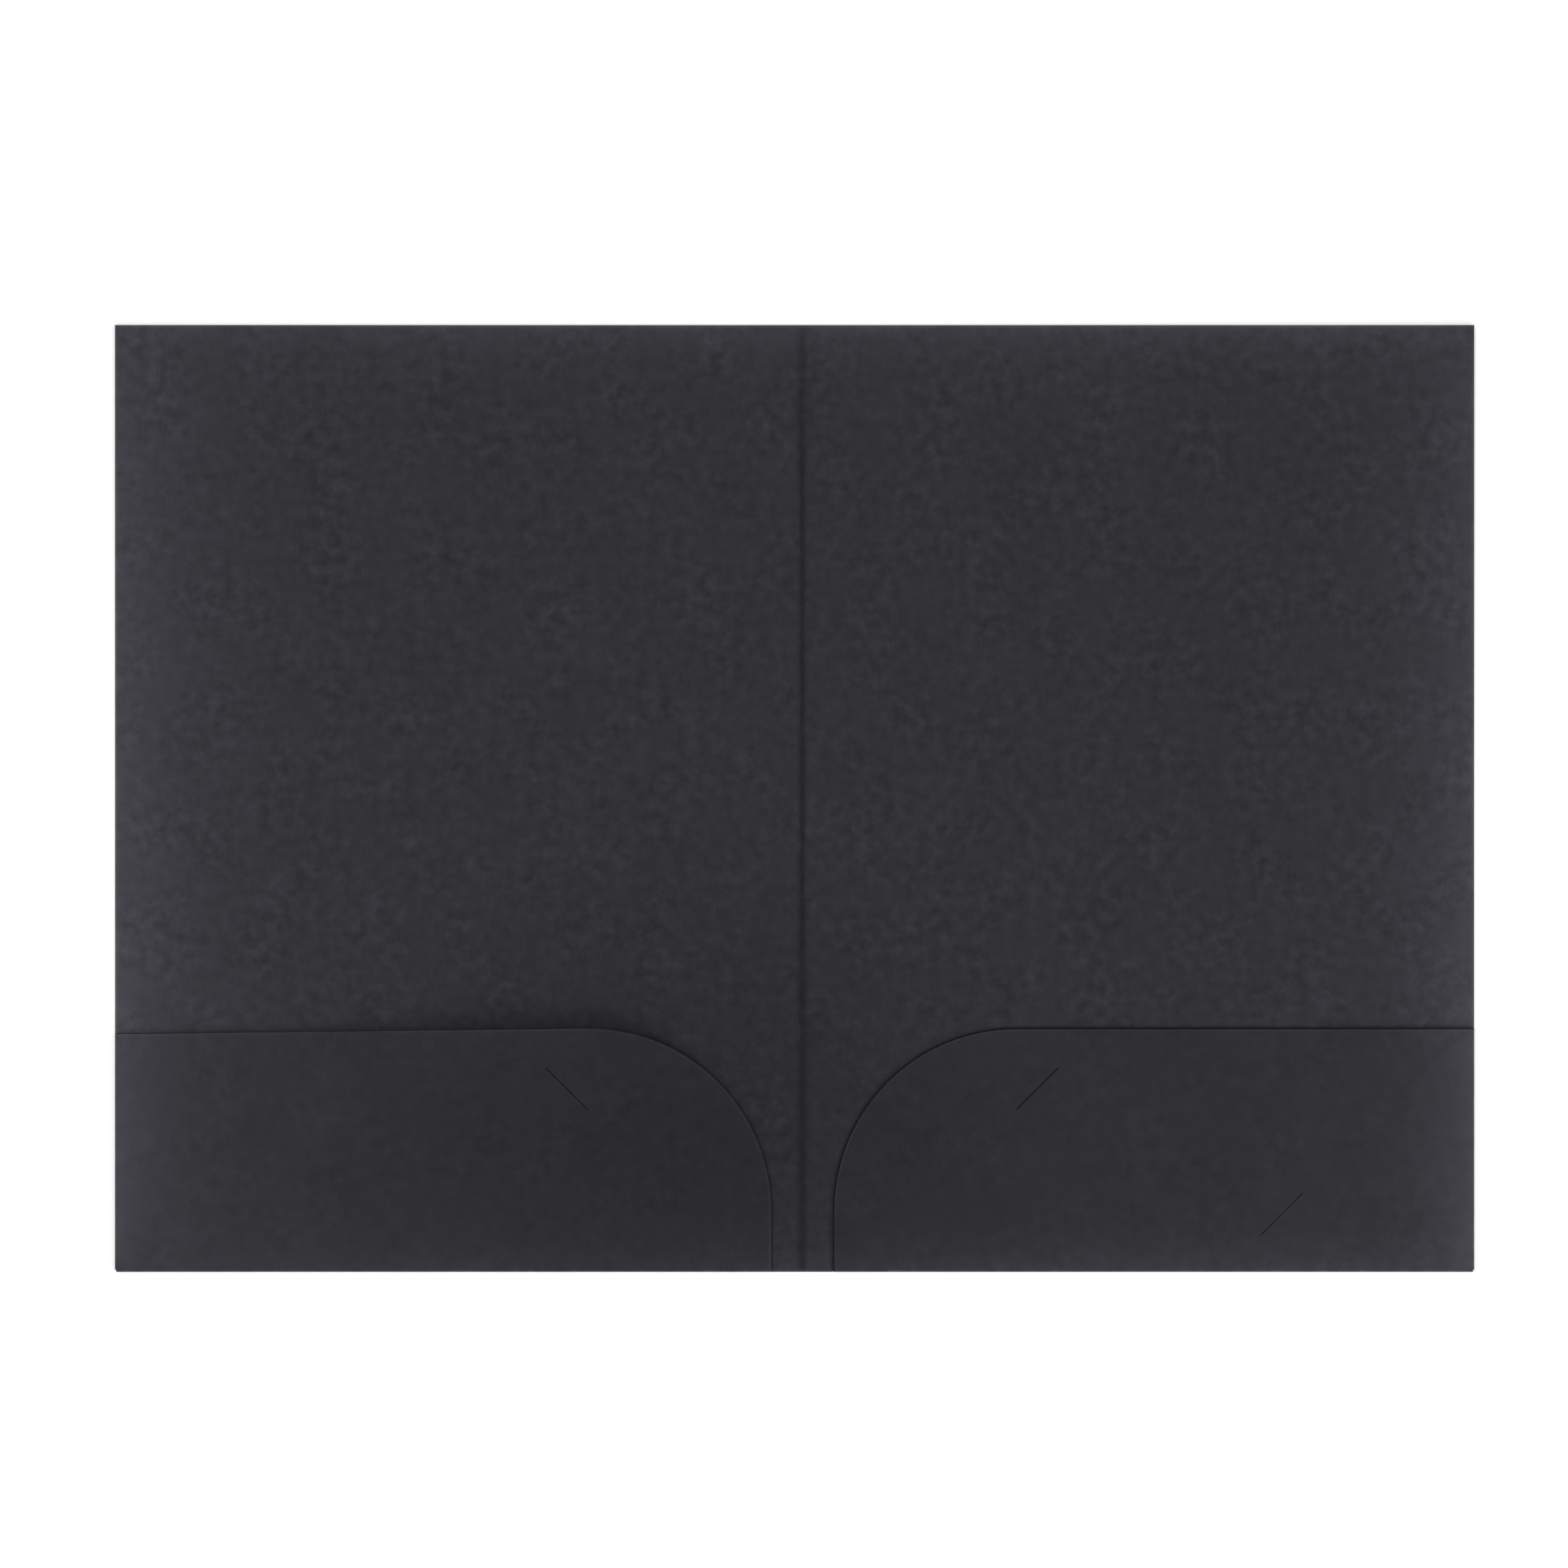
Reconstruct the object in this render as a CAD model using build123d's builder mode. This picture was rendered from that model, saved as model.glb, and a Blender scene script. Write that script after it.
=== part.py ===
from build123d import *
import os

# Two pocket folder for A4 sheets: one creased card blank with a glued pocket on each cover.
# It lies open with its inside up. The front cover is on the left and the back cover on the right.
# Millimetres: X runs to the right, Y towards the top edge and Z up from the table.
# The origin is the middle of the open folder's footprint, on the table.

# Card and glue
card_thickness = 0.4
glue_film = 0.05
tab_clearance = 0.1  # air between a glue tab and the pocket leaf that is folded over it

# Covers, with widths from the fold to the fore edge
cover_height = 310.0
front_width = 225.0
back_width = 220.0

# Spine crease, with the groove that the scoring rule presses into its inner face
crease_width = 3.0
groove_width = 2.0
groove_depth = 0.15

# Window between the two slits of a pocket, which holds a business card of 90 by 54
window_length = 94.0
window_height = 55.0
window_inset = 60.0  # from the pocket's inner edge
window_base = 12.0  # above the bottom edge
window_cover = 13.0  # from the window's top to the pocket's mouth
slit_reach = 14.0  # along both sides of the window's corner that the slit cuts across
slit_width = 0.3

# Pockets
spine_gap = 10.0  # bare cover between the fold and the pocket's inner edge
inner_straight = 20.0  # inner edge below the round corner
mouth_drop = 2.0  # fall of the front pocket's mouth from its round corner to the fore edge

# Glue tabs, which turn in under the pocket leaf at the fore edge
tab_width = 15.0
tab_taper = 6.0  # how much shorter the tab's free edge is at each end
glue_margin = 3.0  # bare card between the glue and the tab's long edges

# Heights of the stacked card layers above the table
tab_base = card_thickness + glue_film
leaf_base = tab_base + card_thickness + tab_clearance
leaf_top = leaf_base + card_thickness

# The card's middle line turns through a half circle at each fold
half_card = card_thickness / 2
bottom_roll = leaf_top / 2  # outer radius of the fold along the bottom edge
side_roll = (leaf_top - tab_base) / 2  # outer radius of the fold at the fore edge
side_middle = tab_base + side_roll

# Pocket outline
pocket_height = window_base + window_height + window_cover
corner_radius = pocket_height - inner_straight
mouth_start = spine_gap + corner_radius

# The fold stands off the origin because the front cover is the wider one
fold_x = (front_width - back_width) / 2
bottom_y = -cover_height / 2

# Planes of the mirror, of the covers and of the ends of the crease and the folds
fold_plane = Plane.YZ.offset(fold_x)
cover_plane = Plane(origin=(fold_x, bottom_y, 0))
crease_end = Plane(origin=(fold_x, -bottom_y, 0), x_dir=(1, 0, 0), z_dir=(0, -1, 0))
bottom_end = Plane(origin=(fold_x + spine_gap, bottom_y, 0), x_dir=(0, 1, 0), z_dir=(1, 0, 0))
side_end = Plane(origin=(fold_x, bottom_y + bottom_roll, 0), x_dir=(0, 0, 1), z_dir=(0, 1, 0))

os.makedirs("parts", exist_ok=True)

# Spine crease: a strip of card, pressed thin along its middle
with BuildPart() as spine_crease:
    with BuildSketch(crease_end):
        with BuildLine():
            flank = crease_width / 2
            lip = groove_width / 2
            Polyline(
                (-lip, card_thickness),
                (-flank, card_thickness),
                (-flank, 0),
                (flank, 0),
                (flank, card_thickness),
                (lip, card_thickness),
            )
            ThreePointArc(
                (lip, card_thickness),
                (0, card_thickness - groove_depth),
                (-lip, card_thickness),
            )
        make_face()
    extrude(amount=cover_height)
spine_crease.part.label = "spine_crease"
export_step(spine_crease.part, "parts/spine_crease.step")

# Each cover is drawn to the right of the fold, and the front one is mirrored to the left
for cover, width, drop in (("front", front_width, mouth_drop), ("back", back_width, 0)):
    mirrored = cover == "front"
    leaf_width = width - side_roll
    fall = drop / (width - mouth_start)
    inner_mouth = pocket_height + fall * corner_radius
    outer_mouth = pocket_height - fall * (leaf_width - mouth_start)

    # Cover panel, cut back along the pocket so that the rolled fold ends flush with the bottom edge
    with BuildPart() as panel:
        with BuildSketch(cover_plane):
            with BuildLine():
                Polyline(
                    (crease_width / 2, 0),
                    (spine_gap, 0),
                    (spine_gap, bottom_roll),
                    (width, bottom_roll),
                    (width, cover_height),
                    (crease_width / 2, cover_height),
                    close=True,
                )
            make_face()
        extrude(amount=card_thickness)
        if mirrored:
            mirror(about=fold_plane, mode=Mode.REPLACE)
    panel.part.label = f"{cover}_panel"
    export_step(panel.part, f"parts/{cover}_panel.step")

    # Fold along the bottom edge, from the cover up and over into the pocket leaf
    with BuildPart() as pocket_fold:
        with BuildSketch(bottom_end):
            with BuildLine():
                ThreePointArc(
                    (bottom_roll, half_card),
                    (half_card, bottom_roll),
                    (bottom_roll, leaf_top - half_card),
                )
            trace(line_width=card_thickness)
        extrude(amount=width - spine_gap)
        if mirrored:
            mirror(about=fold_plane, mode=Mode.REPLACE)
    pocket_fold.part.label = f"{cover}_pocket_fold"
    export_step(pocket_fold.part, f"parts/{cover}_pocket_fold.step")

    # Pocket leaf, with its round inner corner and the two slits for a card
    with BuildPart() as pocket:
        with BuildSketch(cover_plane.offset(leaf_base)) as leaf:
            with BuildLine():
                Polyline(
                    (spine_gap, bottom_roll),
                    (leaf_width, bottom_roll),
                    (leaf_width, outer_mouth),
                    (spine_gap, inner_mouth),
                    close=True,
                )
            make_face()
            inner_corner = leaf.vertices().group_by(Axis.X)[0].sort_by(Axis.Y)[-1]
            fillet(inner_corner, radius=corner_radius)
            window_left = spine_gap + window_inset
            window_right = window_left + window_length
            window_top = window_base + window_height
            with BuildLine():
                Line((window_left, window_top - slit_reach), (window_left + slit_reach, window_top))
                Line((window_right - slit_reach, window_base), (window_right, window_base + slit_reach))
            trace(line_width=slit_width, mode=Mode.SUBTRACT)
        extrude(amount=card_thickness)
        if mirrored:
            mirror(about=fold_plane, mode=Mode.REPLACE)
    pocket.part.label = f"{cover}_pocket"
    export_step(pocket.part, f"parts/{cover}_pocket.step")

    # Fold at the fore edge, from the pocket leaf down and under into the glue tab
    with BuildPart() as side_fold:
        with BuildSketch(side_end):
            with BuildLine():
                ThreePointArc(
                    (tab_base + half_card, leaf_width),
                    (side_middle, width - half_card),
                    (leaf_top - half_card, leaf_width),
                )
            trace(line_width=card_thickness)
        extrude(amount=outer_mouth - bottom_roll)
        if mirrored:
            mirror(about=fold_plane, mode=Mode.REPLACE)
    side_fold.part.label = f"{cover}_side_fold"
    export_step(side_fold.part, f"parts/{cover}_side_fold.step")

    # Glue tab, tapered at both ends so that it stays clear of the mouth and the bottom fold
    with BuildPart() as glue_tab:
        with BuildSketch(cover_plane.offset(tab_base)):
            with BuildLine():
                Polyline(
                    (leaf_width, bottom_roll),
                    (leaf_width, outer_mouth),
                    (width - tab_width, outer_mouth - tab_taper),
                    (width - tab_width, bottom_roll + tab_taper),
                    close=True,
                )
            make_face()
        extrude(amount=card_thickness)
        if mirrored:
            mirror(about=fold_plane, mode=Mode.REPLACE)
    glue_tab.part.label = f"{cover}_glue_tab"
    export_step(glue_tab.part, f"parts/{cover}_glue_tab.step")

    # Glue film between the tab and the cover
    with BuildPart() as glue_strip:
        with BuildSketch(cover_plane.offset(card_thickness)):
            with BuildLine():
                Polyline(
                    (width - tab_width + glue_margin, bottom_roll + tab_taper),
                    (leaf_width - glue_margin, bottom_roll + tab_taper),
                    (leaf_width - glue_margin, outer_mouth - tab_taper),
                    (width - tab_width + glue_margin, outer_mouth - tab_taper),
                    close=True,
                )
            make_face()
        extrude(amount=glue_film)
        if mirrored:
            mirror(about=fold_plane, mode=Mode.REPLACE)
    glue_strip.part.label = f"{cover}_glue_strip"
    export_step(glue_strip.part, f"parts/{cover}_glue_strip.step")
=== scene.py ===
"""Looks of a card folder with two pockets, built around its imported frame."""

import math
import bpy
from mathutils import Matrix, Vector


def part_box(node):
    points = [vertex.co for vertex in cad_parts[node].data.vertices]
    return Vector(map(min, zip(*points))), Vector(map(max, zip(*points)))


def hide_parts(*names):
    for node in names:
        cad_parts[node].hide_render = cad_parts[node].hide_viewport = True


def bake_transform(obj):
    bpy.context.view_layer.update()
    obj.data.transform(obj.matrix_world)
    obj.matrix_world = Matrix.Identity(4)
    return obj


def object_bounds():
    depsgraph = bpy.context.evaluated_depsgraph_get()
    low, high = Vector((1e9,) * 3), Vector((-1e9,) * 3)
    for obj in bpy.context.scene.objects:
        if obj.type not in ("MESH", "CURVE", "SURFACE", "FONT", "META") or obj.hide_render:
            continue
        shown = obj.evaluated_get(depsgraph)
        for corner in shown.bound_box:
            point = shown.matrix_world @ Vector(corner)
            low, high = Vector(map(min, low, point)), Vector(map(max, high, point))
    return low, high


bl_info = {
    "name": "Pocket Folder",
    "version": (1, 0, 0),
    "blender": (4, 5, 0),
    "location": "View3D > Sidebar > Folder",
    "description": "Builds a scored card folder with two glued pockets around its packed frame",
    "category": "Add Mesh",
}

import bmesh
import bpy
from bpy.props import FloatProperty, FloatVectorProperty, PointerProperty
from bpy.types import Operator, Panel, PropertyGroup
from mathutils import Vector

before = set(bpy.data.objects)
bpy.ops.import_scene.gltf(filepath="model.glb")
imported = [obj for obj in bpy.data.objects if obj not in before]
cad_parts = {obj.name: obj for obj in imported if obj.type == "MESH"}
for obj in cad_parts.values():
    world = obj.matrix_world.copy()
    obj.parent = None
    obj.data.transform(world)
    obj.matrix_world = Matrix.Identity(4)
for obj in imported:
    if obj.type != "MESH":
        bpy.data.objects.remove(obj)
cad_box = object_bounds()

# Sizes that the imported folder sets, in metres
crease_low, crease_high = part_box("spine_crease")
FOLD_X = (crease_low.x + crease_high.x) / 2
CREASE_WIDTH = crease_high.x - crease_low.x
BOTTOM_EDGE = crease_low.y
TOP_EDGE = crease_high.y
CARD = crease_high.z - crease_low.z

# Directions on a cover, where X runs outwards from the fold
OUTWARDS = Vector((1, 0, 0))
UPWARDS = Vector((0, 1, 0))

# How the meshes are drawn
TOUCH = 1e-5  # points nearer than this are one point
MARGIN = 0.010  # card drawn past a fold, so that the loops along a cut edge run straight into it
PRESSED = 0.75 * CARD  # deepest rounding that the die presses into a cut edge
ROUND_TURNS = (0, 30, 60)  # degrees round an edge at which its loops lie
CORNER_STEPS = 48  # faces round a pocket's corner
FOLD_STEPS = 10  # faces round a turned fold
BEND_REACH = 1.5 * CREASE_WIDTH  # width of the finer mesh on each side of the spine's fold
BEND_STEP = CREASE_WIDTH / 12  # spacing of that finer mesh
SLIT_ROOM = 1.6  # reach of the cuts around a slit's middle, in halves of its length
SHARP_ANGLE = math.radians(28)  # edges that turn further than this are shaded hard

# The score is pressed wider and weaker towards both ends of the spine
TOP_FADE = (0.100, 0.140)  # heights above the folder's middle between which this sets in
FOOT_FADE = (0.030, 0.075)  # depths below it
TOP_SPREAD, FOOT_SPREAD = 0.55, 0.35  # how much wider
TOP_LOSS, FOOT_LOSS = 0.35, 0.15  # how much weaker

# Sizes of the patterns in the materials, in metres
CLOUD_SIZE = 0.03
PATCH_SIZE = 0.018
FIBRE_SIZE = 0.00035
PLY_SIZE = 0.0012
STREAK_SIZE = 0.002
SPECKLE_SIZE = 0.004

# Parts of a pattern's values that are stretched over a whole range
WIDE = (0.25, 0.75)
SOFT = (0.3, 0.7)
HARD = (0.35, 0.65)
UPPER = (0.4, 0.7)
CRESTS = (0.66, 0.76)

# Ranges that the patterns are stretched to
CLOUD_TONES = (0.96, 1.04)
PATCH_SHARES = (0.5, 1.5)  # strength of the grain in its weakest and strongest patches
# Rub of the rims, which also paints a highlight along the cut edges
RIM_WEAR_AND_HIGHLIGHT = (0.2, 0.6)
RIDGE_WEAR = (0.05, 0.4)
CARD_ROUGHNESS = (0.66, 0.82)
PLY_MIX = (0, 0.25)  # how far the card's colour shows in its core
PLY_ROUGHNESS = (0.75, 0.9)
STREAK_TONES = (0.8, 1.1)
STREAK_ROUGHNESS = (0.3, 0.5)
SPECKLE_TONES = (0.99, 1.0)

# Finish of the card, its cut edge and the glue
FELT_SHARE = 1 / 8  # size of the felt against the grain's
FELT_RELIEF = 0.5  # height of the felt against the grain's
FIBRE_TURNS = (0.5, -0.9)  # turns of the pattern, in radians, that make two sets of fibres
FIBRE_STRETCH = 0.06  # a fibre's width against its length
PLY_SQUASH = 12  # a ply's width against its thickness
STREAK_STRETCH = 0.2  # a streak's width against its length
SCORE_SHADE_AND_TONE = 0.5  # painted shade of the score's groove together with its burnished card, against the card's tone
BURNISH = 0.12  # how much smoother the pressed score is
CARD_SHEEN = 0.06  # specular level of the matt card
GRAIN_HEIGHT = 0.0001
PLY_HEIGHT = 0.00004
STREAK_HEIGHT = 0.00005

# The table, and how bright it reads by its distance from the folder
TABLE_HALF = 15
TABLE_DROP = 0.0001  # keeps the table's face off the covers
NEAR, FAR = 0.5, 1.8
NEAR_WHITE, FAR_WHITE = 1.16, 1.02

# Low strip lamps, anticlockwise from the bottom edge
# Each has its gap to the folder at both ends, its height and its brightness
GLOWS = {
    "bottom_glow": (0.009, 0.0015, 0.014, 1.25),
    "right_glow": (0.0015, 0.014, 0.022, 2.5),
    "top_glow": (0.003, 0.005, 0.009, 2.0),
    "left_glow": (0.013, 0.004, 0.030, 2.5),
}

# Order of the card's three materials on each piece
OUTSIDE, INSIDE, CUT_EDGE = range(3)


class Cover:
    """Sizes of one cover and its pocket, with distances measured outwards from the fold."""

    def __init__(self, index, name, side):
        self.index = index  # its place in a property that holds a value for each cover
        self.name = name
        self.side = side
        leaf_low, leaf_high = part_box(f"{name}_pocket")
        self.width = self.reach(f"{name}_panel")[1]
        self.leaf_inner, self.leaf_outer = self.reach(f"{name}_pocket")
        self.tab_inner = self.reach(f"{name}_glue_tab")[0]
        self.leaf_foot = leaf_low.y
        self.leaf_top = leaf_high.z
        self.mouth = leaf_high.y
        self.side_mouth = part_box(f"{name}_side_fold")[1].y
        self.bottom_roll = self.leaf_top / 2
        self.side_roll = (self.leaf_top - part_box(f"{name}_glue_tab")[0].z) / 2

    def reach(self, node):
        """Nearest and farthest distance of a node from the fold."""
        return sorted(self.distance(corner.x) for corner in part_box(node))

    def distance(self, x):
        """Distance of a place in the folder's frame from the fold."""
        return self.side * (x - FOLD_X)

    def point(self, distance, y, z):
        """Point in the folder's frame at a distance from the fold."""
        return (FOLD_X + self.side * distance, y, z)

    def place(self, bm):
        """Put a mesh that was drawn to the right of the fold on this cover's side."""
        bmesh.ops.scale(bm, vec=(self.side, 1, 1), verts=bm.verts[:])
        bmesh.ops.translate(bm, vec=(FOLD_X, 0, 0), verts=bm.verts[:])
        bmesh.ops.recalc_face_normals(bm, faces=bm.faces[:])


COVERS = (Cover(0, "front", -1), Cover(1, "back", 1))


# Properties

class FolderShape(PropertyGroup):
    """Sizes of the card's details, in pairs where the front and the back pocket differ"""

    mesh_step: FloatProperty(
        name="Mesh step", description="Largest face of the card's mesh",
        default=0.006, subtype="DISTANCE", unit="LENGTH")
    # The rim strip is rubbed lighter and also carries a painted highlight along the cut edge
    rim_width: FloatProperty(
        name="Rim width", description="Strip along a cut edge that rubs lighter",
        default=0.0012, subtype="DISTANCE", unit="LENGTH")
    edge_round: FloatProperty(
        name="Edge round", description="Rounding of the cut edges",
        default=0.00005, subtype="DISTANCE", unit="LENGTH")
    groove_width: FloatProperty(
        name="Groove width", description="Width of the score's groove on the inside",
        default=0.002, subtype="DISTANCE", unit="LENGTH")
    groove_depth: FloatProperty(
        name="Groove depth", description="Depth of the score's groove",
        default=0.00015, subtype="DISTANCE", unit="LENGTH")
    # The darkening along the fold is partly painted shade of the score's groove and partly its burnished
    # card
    crease_spread: FloatProperty(
        name="Crease spread", description="How far the pressed card darkens from the fold",
        default=0.00085, subtype="DISTANCE", unit="LENGTH")
    corner_radius: FloatProperty(
        name="Corner radius", description="Round inner corner of each pocket",
        default=0.060, subtype="DISTANCE", unit="LENGTH")
    tab_taper: FloatProperty(
        name="Tab taper", description="How much shorter a glue tab's free edge is at each end",
        default=0.006, subtype="DISTANCE", unit="LENGTH")
    # The rounded band takes the cut edge's black core, which also paints the shadow line along each
    # pocket's edge
    mouth_rounds: FloatVectorProperty(
        name="Mouth rounds", description="Rounding along each pocket's free edge",
        size=2, default=(0.00020, 0.00066), unit="LENGTH")
    # How far each pocket's free edge is rubbed and painted with a highlight
    mouth_rubs_and_highlights: FloatVectorProperty(
        name="Mouth rubs", description="How far each pocket's free edge is rubbed",
        size=2, default=(0.5, 0.8), min=0, max=1)
    mouth_lifts: FloatVectorProperty(
        name="Mouth lifts", description="Height that each pocket's mouth stands open",
        size=2, default=(0.0039, 0), unit="LENGTH")
    leaf_springs: FloatVectorProperty(
        name="Leaf springs", description="How far each pocket springs up, or settles, off its folds",
        size=2, default=(0.00020, -0.00035), unit="LENGTH")
    spring_reach: FloatProperty(
        name="Spring reach", description="From a fold to where the leaf has sprung up or settled",
        default=0.035, subtype="DISTANCE", unit="LENGTH")
    lift_level: FloatProperty(
        name="Lift level", description="From the inner edge to where the mouth starts to come down",
        default=0.085, subtype="DISTANCE", unit="LENGTH")
    lift_reach: FloatProperty(
        name="Lift reach", description="From the inner edge to where the mouth lies down again",
        default=0.155, subtype="DISTANCE", unit="LENGTH")
    lift_inset: FloatProperty(
        name="Lift inset", description="Strip beside the pocket's inner edge that stays down",
        default=0.002, subtype="DISTANCE", unit="LENGTH")
    corner_curl: FloatProperty(
        name="Corner curl", description="Height that the covers' top corners curl up",
        default=0.0006, subtype="DISTANCE", unit="LENGTH")
    slit_reach: FloatProperty(
        name="Slit reach", description="Reach of a slit along both sides of a card's corner",
        default=0.014, subtype="DISTANCE", unit="LENGTH")
    slit_end: FloatProperty(
        name="Slit end", description="How far from its ends a slit is fully open",
        default=0.0006, subtype="DISTANCE", unit="LENGTH")
    upper_slits: FloatVectorProperty(
        name="Upper slits", description="Gap of each pocket's upper slit",
        size=2, default=(0.00024, 0.00040), unit="LENGTH")
    lower_slits: FloatVectorProperty(
        name="Lower slits", description="Gap of each pocket's lower slit",
        size=2, default=(0.00007, 0.00026), unit="LENGTH")
    window_inset: FloatProperty(
        name="Card window inset", description="From the pocket's inner edge to the card",
        default=0.060, subtype="DISTANCE", unit="LENGTH")
    window_length: FloatProperty(
        name="Card window length", description="Room for the card between the slits",
        default=0.094, subtype="DISTANCE", unit="LENGTH")
    window_base: FloatProperty(
        name="Card window base", description="From the bottom edge up to the card",
        default=0.012, subtype="DISTANCE", unit="LENGTH")
    window_height: FloatProperty(
        name="Card window height", description="Height of the card between the slits",
        default=0.055, subtype="DISTANCE", unit="LENGTH")


class FolderFinish(PropertyGroup):
    """Colours and grain of the card and the glue"""

    card_colour: FloatVectorProperty(
        name="Card colour", description="Charcoal black of the dyed card",
        default=(0.0290, 0.0280, 0.0341), subtype="COLOR", min=0, max=1)
    # Rubbed grey, which also paints a highlight along the cut edges
    rub_and_highlight_colour: FloatVectorProperty(
        name="Rub colour", description="Grey of the card where an edge is rubbed",
        default=(0.060, 0.059, 0.066), subtype="COLOR", min=0, max=1)
    # The core's deep black, on the wide rounding along a pocket's free edge, also paints the shadow line
    # beside the pocket
    core_and_shadow_colour: FloatVectorProperty(
        name="Core colour", description="Deep black of the card's core on a cut edge",
        default=(0.0060, 0.0058, 0.0068), subtype="COLOR", min=0, max=1)
    fibre_colour: FloatVectorProperty(
        name="Fibre colour", description="Paler fibres on the card's surface",
        default=(0.055, 0.054, 0.060), subtype="COLOR", min=0, max=1)
    glue_colour: FloatVectorProperty(
        name="Glue colour", description="Dried glue under the tabs",
        default=(0.62, 0.58, 0.48), subtype="COLOR", min=0, max=1)
    grain_size: FloatProperty(
        name="Grain size", description="Size of the card's mottled grain",
        default=0.0040, subtype="DISTANCE", unit="LENGTH")
    inside_grain: FloatProperty(
        name="Inside grain", description="Strength of the grain on the felted inside",
        default=0.24, subtype="FACTOR", min=0, max=1)
    outside_grain: FloatProperty(
        name="Outside grain", description="Strength of the grain on the smooth outside",
        default=0.13, subtype="FACTOR", min=0, max=1)
    outside_tone: FloatProperty(
        name="Outside tone", description="Tone of the smooth outside against the inside's",
        default=0.885, subtype="FACTOR", min=0, max=1)
    # Painted shade: a soft darker spot around the foot of the spine, drawn into the card's colour
    painted_shade_depth: FloatProperty(
        name="Painted shade depth", description="How much darker the card is around the foot of the spine",
        default=0.25, subtype="FACTOR", min=0, max=1)
    painted_shade_place: FloatVectorProperty(
        name="Painted shade place", description="Middle of the darker card, from the fold and the bottom edge",
        size=2, default=(-0.035, 0.040), subtype="XYZ", unit="LENGTH")
    painted_shade_reach: FloatVectorProperty(
        name="Painted shade reach", description="How far the darker card reaches to the sides and up",
        size=2, default=(0.150, 0.115), subtype="XYZ", unit="LENGTH")


class FolderStage(PropertyGroup):
    """Camera, floor and light"""

    frame_width: FloatProperty(
        name="Frame width", description="Width of the table that the picture shows",
        default=0.5134, subtype="DISTANCE", unit="LENGTH")
    aim_x: FloatProperty(
        name="Aim X", description="Middle of the picture, to the right of the folder's middle",
        default=-0.00346, subtype="DISTANCE", unit="LENGTH")
    aim_y: FloatProperty(
        name="Aim Y", description="Middle of the picture, above the folder's middle",
        default=0.00473, subtype="DISTANCE", unit="LENGTH")
    lens: FloatProperty(
        name="Lens", description="Focal length in millimetres on a 36 mm sensor",
        default=200, subtype="DISTANCE_CAMERA", unit="CAMERA")
    floor_colour: FloatVectorProperty(
        name="Floor colour", description="White table",
        default=(0.80, 0.80, 0.80), subtype="COLOR", min=0, max=1)
    fill: FloatProperty(
        name="Fill", description="Share of the light that comes from all round",
        default=0.58, subtype="FACTOR", min=0, max=2)
    key_light: FloatProperty(
        name="Key lamp", description="Share of the light from the lamp at the bottom right",
        default=0.17, subtype="FACTOR", min=0, max=2)
    key_place: FloatVectorProperty(
        name="Key place", description="Place of the lamp at the bottom right",
        default=(1.1, -1.3, 0.82), subtype="XYZ", unit="LENGTH")
    left_light: FloatProperty(
        name="Left lamp", description="Share of the light from the lamp at the left",
        default=0.24, subtype="FACTOR", min=0, max=2)
    left_place: FloatVectorProperty(
        name="Left place", description="Place of the lamp at the left",
        default=(-0.8, 0.1, 1.5), subtype="XYZ", unit="LENGTH")
    lamp_side: FloatProperty(
        name="Lamp side", description="Side of the square lamps",
        default=0.8, subtype="DISTANCE", unit="LENGTH")
    glow: FloatProperty(
        name="Glow", description="Brightness of the low strip lamps round the folder",
        default=1.0, subtype="FACTOR", min=0, max=5)


# Mesh helpers

def ease(value, start, stop):
    """Smooth rise from 0 at start to 1 at stop."""
    share = min(max((value - start) / (stop - start), 0), 1)
    return share * share * (3 - 2 * share)


def even_places(start, stop, spacing):
    """Evenly spaced places between two ends, no further apart than the spacing."""
    count = math.ceil((stop - start) / spacing)
    return [start + (stop - start) * place / count for place in range(1, count)]


def flat_sheet(outline, height):
    """One face with the outline's corners."""
    bm = bmesh.new()
    bm.faces.new([bm.verts.new((x, y, height)) for x, y in outline])
    return bm


def cut_across(bm, direction, places, pick=None):
    """Cut the sheet, or the faces that pick gives, square to a direction at places along it."""
    for place in places:
        faces = pick() if pick else bm.faces[:]
        edges = {edge for face in faces for edge in face.edges}
        verts = {vert for face in faces for vert in face.verts}
        bmesh.ops.bisect_plane(
            bm, geom=[*verts, *edges, *faces], dist=TOUCH,
            plane_co=direction * place, plane_no=direction)


def trim(bm, direction, place):
    """Cut the sheet square to a direction and drop what lies beyond."""
    bmesh.ops.bisect_plane(
        bm, geom=[*bm.verts, *bm.edges, *bm.faces], dist=TOUCH,
        plane_co=direction * place, plane_no=direction, clear_outer=True)


def edge_loops(bm, rim, radius):
    """Loops along the outline for its rub, its painted highlight and its rounding, marked with their
    distance from it.
    """
    inset = bm.verts.layers.float.new("inset")
    steps = [radius * (1 - math.sin(math.radians(turn))) for turn in ROUND_TURNS]
    for distance in (rim, *steps):
        bm.normal_update()
        bmesh.ops.inset_region(
            bm, faces=bm.faces[:], thickness=distance, use_boundary=True, use_even_offset=True)
        for vert in bm.verts:
            if vert[inset] == 0 and not vert.is_boundary:
                vert[inset] = distance
    return inset


def mark_rim(bm, inset, rim, radius, rub):
    """How far each point is rubbed and painted with a highlight, which fades from the rounded edge to
    the rim's inner end.
    """
    rubbed = bm.verts.layers.float.new("rim")
    for vert in bm.verts:
        vert[rubbed] = rub * min((rim - vert[inset]) / (rim - radius), 1)


def round_drop(distance, radius):
    """How far a rounded edge falls away at a distance from its outline."""
    share = max(1 - distance / radius, 0)
    return min(radius, PRESSED) * (1 - math.sqrt(1 - share ** 2))


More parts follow.
